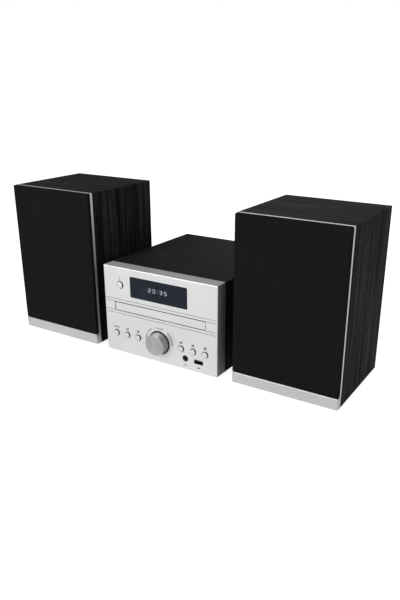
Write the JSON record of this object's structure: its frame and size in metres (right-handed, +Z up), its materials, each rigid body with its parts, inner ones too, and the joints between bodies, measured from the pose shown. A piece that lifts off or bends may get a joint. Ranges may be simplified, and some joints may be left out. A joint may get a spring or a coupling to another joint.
{
  "type": "mini hifi system",
  "caption": "Compact stereo set: receiver with disc tray, display, knob and buttons between two grilled shelf speakers in dark wood grain.",
  "frame": {"origin": "middle of the set on the plane that it stands on", "axes": "+X to the right seen from the front, +Y to the back, +Z up; the front faces -Y"},
  "size_m": [0.501, 0.224, 0.2174],
  "materials": {
    "panel_silver": "satin silver",
    "button_silver": "satin silver",
    "knob_metal": "spun",
    "trim_silver": "satin silver",
    "case_steel": "fine texture black",
    "black_plastic": "moulded",
    "smoked_lens": "gloss",
    "circuit_board": "solder mask",
    "bare_steel": "plated",
    "white_plastic": "acetal",
    "tray_grey": "moulded",
    "rubber_black": "matt",
    "wood_vinyl": "black ash grain",
    "grille_fabric": "plain weave",
    "driver_steel": "satin",
    "cone_paper": "pulp",
    "lever_red": "moulded",
    "lever_black": "moulded"
  },
  "bodies": {
    "receiver": {"bottom_chassis": "case_steel", "top_cover": "case_steel", "rear_panel": "case_steel", "front_fascia": "panel_silver", "knob_collar": "black_plastic", "display_lens": "smoked_lens", "display_module": "circuit_board", "control_board": "circuit_board", "headphone_jack": "black_plastic", "usb_socket": "bare_steel", "main_board": "circuit_board", "mains_inlet": "black_plastic", "rear_sockets": "black_plastic", "speaker_terminals": "black_plastic", "loader_frame": "black_plastic", "clamp_bridge": "bare_steel", "loading_motor": "bare_steel", "drive_belt": "rubber_black", "spindle_motor": "bare_steel", "receiver_feet": "rubber_black"},
    "tray": {"disc_tray": "tray_grey", "tray_door": "panel_silver"},
    "tray_gear": {"tray_gear": "white_plastic"},
    "pulley_gear": {"pulley_gear": "white_plastic"},
    "motor_pulley": {"motor_pulley": "white_plastic"},
    "clamp_puck": {"clamp_puck": "white_plastic"},
    "turntable": {"turntable": "black_plastic"},
    "pickup_sled": {"pickup_sled": "black_plastic"},
    "volume_knob": {"volume_knob": "knob_metal"},
    "power_button": {"power_button": "button_silver"},
    "source_button": {"source_button": "button_silver"},
    "play_button": {"play_button": "button_silver"},
    "stop_button": {"stop_button": "button_silver"},
    "back_button": {"back_button": "button_silver"},
    "next_button": {"next_button": "button_silver"},
    "mode_button": {"mode_button": "button_silver"},
    "lever_1": {"lever_1": "lever_red"},
    "lever_2": {"lever_2": "lever_black"},
    "lever_3": {"lever_3": "lever_red"},
    "lever_4": {"lever_4": "lever_black"},
    "left_speaker": {"left_cabinet": "wood_vinyl", "left_front_frame": "trim_silver", "left_woofer_frame": "driver_steel", "left_woofer_surround": "rubber_black", "left_tweeter": "black_plastic", "left_cable_gland": "rubber_black", "left_feet": "rubber_black"},
    "left_grille": {"left_grille_frame": "black_plastic", "left_grille_cloth": "grille_fabric"},
    "left_cone": {"left_woofer_cone": "cone_paper"},
    "right_speaker": {"right_cabinet": "wood_vinyl", "right_front_frame": "trim_silver", "right_woofer_frame": "driver_steel", "right_woofer_surround": "rubber_black", "right_tweeter": "black_plastic", "right_cable_gland": "rubber_black", "right_feet": "rubber_black"},
    "right_grille": {"right_grille_frame": "black_plastic", "right_grille_cloth": "grille_fabric"},
    "right_cone": {"right_woofer_cone": "cone_paper"}
  },
  "joints": [
    {"name": "tray_slide", "type": "slide", "parent": "receiver", "child": "tray", "axis": [0, -1, 0], "range_m": [0, 0.13]},
    {"name": "tray_gear_turn", "type": "hinge", "parent": "receiver", "child": "tray_gear", "pos_m": [-0.0519, -0.06, 0.055], "axis": [0, 0, 1], "range_deg": [0, 1067]},
    {"name": "pulley_gear_turn", "type": "hinge", "parent": "receiver", "child": "pulley_gear", "pos_m": [-0.03123, -0.06752, 0.055], "axis": [0, 0, 1], "range_deg": [-2840, 0]},
    {"name": "motor_turn", "type": "hinge", "parent": "receiver", "child": "motor_pulley", "pos_m": [0.018, -0.06752, 0.055], "axis": [0, 0, 1], "range_deg": [-9589, 0]},
    {"name": "turntable_spin", "type": "hinge", "parent": "receiver", "child": "turntable", "pos_m": [0, -0.0322, 0.06], "axis": [0, 0, 1], "continuous": true},
    {"name": "clamp_spin", "type": "hinge", "parent": "receiver", "child": "clamp_puck", "pos_m": [0, -0.0322, 0.08], "axis": [0, 0, 1], "continuous": true},
    {"name": "sled_slide", "type": "slide", "parent": "receiver", "child": "pickup_sled", "axis": [0, 1, 0], "range_m": [0, 0.034]},
    {"name": "volume_turn", "type": "hinge", "parent": "receiver", "child": "volume_knob", "pos_m": [0, -0.1, 0.0313], "axis": [0, -1, 0], "continuous": true},
    {"name": "power_press", "type": "slide", "parent": "receiver", "child": "power_button", "axis": [0, 1, 0], "range_m": [0, 0.0008], "stiffness_N_per_m": 400, "springref_m": -0.001},
    {"name": "source_press", "type": "slide", "parent": "receiver", "child": "source_button", "axis": [0, 1, 0], "range_m": [0, 0.0008], "stiffness_N_per_m": 400, "springref_m": -0.001},
    {"name": "play_press", "type": "slide", "parent": "receiver", "child": "play_button", "axis": [0, 1, 0], "range_m": [0, 0.0008], "stiffness_N_per_m": 400, "springref_m": -0.001},
    {"name": "stop_press", "type": "slide", "parent": "receiver", "child": "stop_button", "axis": [0, 1, 0], "range_m": [0, 0.0008], "stiffness_N_per_m": 400, "springref_m": -0.001},
    {"name": "back_press", "type": "slide", "parent": "receiver", "child": "back_button", "axis": [0, 1, 0], "range_m": [0, 0.0008], "stiffness_N_per_m": 400, "springref_m": -0.001},
    {"name": "next_press", "type": "slide", "parent": "receiver", "child": "next_button", "axis": [0, 1, 0], "range_m": [0, 0.0008], "stiffness_N_per_m": 400, "springref_m": -0.001},
    {"name": "mode_press", "type": "slide", "parent": "receiver", "child": "mode_button", "axis": [0, 1, 0], "range_m": [0, 0.0008], "stiffness_N_per_m": 400, "springref_m": -0.001},
    {"name": "lever_1_swing", "type": "hinge", "parent": "receiver", "child": "lever_1", "pos_m": [0.027, 0.1032, 0.0668], "axis": [1, 0, 0], "range_deg": [0, 18], "stiffness_Nm_per_rad": 0.05, "springref_deg": -8.59},
    {"name": "lever_2_swing", "type": "hinge", "parent": "receiver", "child": "lever_2", "pos_m": [0.039, 0.1032, 0.0668], "axis": [1, 0, 0], "range_deg": [0, 18], "stiffness_Nm_per_rad": 0.05, "springref_deg": -8.59},
    {"name": "lever_3_swing", "type": "hinge", "parent": "receiver", "child": "lever_3", "pos_m": [0.051, 0.1032, 0.0668], "axis": [1, 0, 0], "range_deg": [0, 18], "stiffness_Nm_per_rad": 0.05, "springref_deg": -8.59},
    {"name": "lever_4_swing", "type": "hinge", "parent": "receiver", "child": "lever_4", "pos_m": [0.063, 0.1032, 0.0668], "axis": [1, 0, 0], "range_deg": [0, 18], "stiffness_Nm_per_rad": 0.05, "springref_deg": -8.59},
    {"name": "left_speaker_place", "type": "slide", "parent": "receiver", "child": "left_speaker", "axis": [-1, 0, 0], "range_m": [0, 0.1]},
    {"name": "left_grille_pull", "type": "slide", "parent": "left_speaker", "child": "left_grille", "axis": [0, -1, 0], "range_m": [0, 0.03]},
    {"name": "left_cone_stroke", "type": "slide", "parent": "left_speaker", "child": "left_cone", "axis": [0, 1, 0], "range_m": [-0.002, 0.002], "stiffness_N_per_m": 1200, "deforming": ["left_woofer_surround"]},
    {"name": "right_speaker_place", "type": "slide", "parent": "receiver", "child": "right_speaker", "axis": [1, 0, 0], "range_m": [0, 0.1]},
    {"name": "right_grille_pull", "type": "slide", "parent": "right_speaker", "child": "right_grille", "axis": [0, -1, 0], "range_m": [0, 0.03]},
    {"name": "right_cone_stroke", "type": "slide", "parent": "right_speaker", "child": "right_cone", "axis": [0, 1, 0], "range_m": [-0.002, 0.002], "stiffness_N_per_m": 1200, "deforming": ["right_woofer_surround"]}
  ],
  "couplings": [
    {"joint": "tray_gear_turn", "follows": "tray_slide", "rad_per_m": 142.86},
    {"joint": "pulley_gear_turn", "follows": "tray_slide", "rad_per_m": -380.95},
    {"joint": "motor_turn", "follows": "tray_slide", "rad_per_m": -1287}
  ]
}
